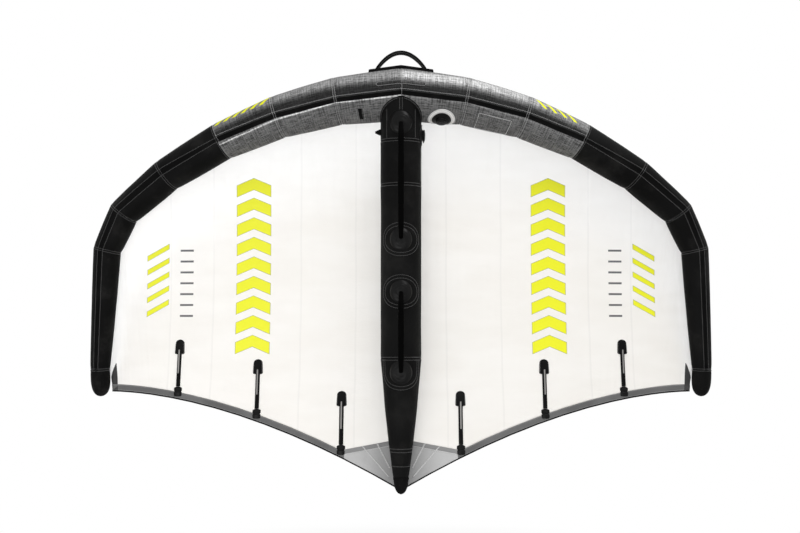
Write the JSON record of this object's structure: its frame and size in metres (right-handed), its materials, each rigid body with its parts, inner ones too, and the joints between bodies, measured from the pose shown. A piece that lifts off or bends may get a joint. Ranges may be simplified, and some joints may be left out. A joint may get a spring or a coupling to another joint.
{
  "type": "inflatable wingfoil wing",
  "caption": "Hand-held inflatable foil wing: a curved tapering leading-edge tube, a centre strut with handles, a cambered canopy, battens and inflation valves.",
  "frame": {"origin": "inner face of the leading-edge handle's grip at its middle, where a hand closes round it and the wing hangs", "axes": "+Z from the tail of the strut up to the leading edge, X along the span with +X to the right as the rider sees it, -Y towards the rider, on the side of the strut and its handles"},
  "size_m": [2.831, 0.41, 1.9512],
  "materials": {
    "canopy_cloth": "coated ripstop sailcloth with a soft sheen",
    "heather_cloth": "matte heather-grey woven polyester",
    "black_cloth": "matte black woven polyester",
    "edge_band": "mid-grey folded sailcloth tape",
    "patch_cloth": "light grey reinforcing cloth",
    "valve_ring_cloth": "pale grey stitched cloth ring",
    "webbing": "black polyester webbing",
    "grip_rubber": "soft matte grip foam",
    "black_rubber": "satin moulded rubber",
    "black_moulding": "satin black moulding",
    "bladder_film": "clear flexible film"
  },
  "bodies": {
    "wing": {"batten_pocket_left_1": "black_cloth", "batten_pocket_left_2": "black_cloth", "batten_pocket_left_3": "black_cloth", "batten_pocket_right_1": "black_cloth", "batten_pocket_right_2": "black_cloth", "batten_pocket_right_3": "black_cloth", "batten_rod_left_1": "black_moulding", "batten_rod_left_2": "black_moulding", "batten_rod_left_3": "black_moulding", "batten_rod_right_1": "black_moulding", "batten_rod_right_2": "black_moulding", "batten_rod_right_3": "black_moulding", "canopy_left": "canopy_cloth", "canopy_right": "canopy_cloth", "handle_anchor_1": "black_rubber", "handle_anchor_2": "black_rubber", "handle_anchor_3": "black_rubber", "handle_anchor_4": "black_rubber", "leading_edge_bladder": "bladder_film", "leading_edge_handle_base": "webbing", "leading_edge_panel_left_1": "heather_cloth", "leading_edge_panel_left_2": "heather_cloth", "leading_edge_panel_left_3": "heather_cloth", "leading_edge_panel_left_4": "black_cloth", "leading_edge_panel_left_5": "black_cloth", "leading_edge_panel_left_6": "black_cloth", "leading_edge_panel_left_7": "black_cloth", "leading_edge_panel_right_1": "heather_cloth", "leading_edge_panel_right_2": "heather_cloth", "leading_edge_panel_right_3": "heather_cloth", "leading_edge_panel_right_4": "black_cloth", "leading_edge_panel_right_5": "black_cloth", "leading_edge_panel_right_6": "black_cloth", "leading_edge_panel_right_7": "black_cloth", "leading_edge_strip_left": "black_cloth", "leading_edge_strip_right": "black_cloth", "leading_edge_valve_base": "black_moulding", "leading_edge_valve_patch": "valve_ring_cloth", "leash_loop": "webbing", "strut_bladder": "bladder_film", "strut_front_panel": "black_cloth", "strut_middle_panel": "black_cloth", "strut_side_loop": "webbing", "strut_tail_cap": "black_cloth", "strut_tail_panel": "black_cloth", "strut_upper_panel": "black_cloth", "strut_valve_base": "black_moulding", "tail_patch_left": "patch_cloth", "tail_patch_right": "patch_cloth", "tip_cap_left": "black_cloth", "tip_cap_right": "black_cloth", "trailing_band_left": "edge_band", "trailing_band_right": "edge_band"},
    "leading_edge_handle": {"leading_edge_handle": "webbing"},
    "front_handle": {"front_handle": "grip_rubber"},
    "rear_handle": {"rear_handle": "grip_rubber"},
    "leading_edge_valve_insert": {"leading_edge_valve_insert": "black_moulding"},
    "leading_edge_valve_cap": {"leading_edge_valve_cap": "black_rubber"},
    "strut_valve_insert": {"strut_valve_insert": "black_moulding"},
    "strut_valve_cap": {"strut_valve_cap": "black_rubber"}
  },
  "joints": [
    {"name": "leading_edge_handle_swing", "type": "hinge", "parent": "wing", "child": "leading_edge_handle", "pos_m": [0, 0, -0.07097], "axis": [1, 0, 0], "range_deg": [-60, 60], "stiffness_Nm_per_rad": 1.5},
    {"name": "front_handle_swing", "type": "hinge", "parent": "wing", "child": "front_handle", "pos_m": [0, -0.12349, -0.33863], "axis": [0, 0.0755, -0.9971], "range_deg": [-60, 60], "stiffness_Nm_per_rad": 1.5},
    {"name": "rear_handle_swing", "type": "hinge", "parent": "wing", "child": "rear_handle", "pos_m": [0, -0.08271, -1.06801], "axis": [0, -0.0124, -0.9999], "range_deg": [-60, 60], "stiffness_Nm_per_rad": 1.5},
    {"name": "leading_edge_valve_turn", "type": "hinge", "parent": "wing", "child": "leading_edge_valve_insert", "pos_m": [0.17816, -0.02503, -0.30528], "axis": [-0.0634, -0.2807, -0.9577], "range_deg": [0, 90]},
    {"name": "leading_edge_valve_cap_open", "type": "hinge", "parent": "leading_edge_valve_insert", "child": "leading_edge_valve_cap", "pos_m": [0.20789, -0.02555, -0.3168], "axis": [0.0897, -0.9574, 0.2746], "range_deg": [0, 140]},
    {"name": "strut_valve_turn", "type": "hinge", "parent": "wing", "child": "strut_valve_insert", "pos_m": [0.09054, -0.00676, -0.372], "axis": [1, 0, 0], "range_deg": [0, 90]},
    {"name": "strut_valve_cap_open", "type": "hinge", "parent": "strut_valve_insert", "child": "strut_valve_cap", "pos_m": [0.09984, -0.00333, -0.40231], "axis": [0, 0.9937, 0.1125], "range_deg": [0, 140]}
  ]
}
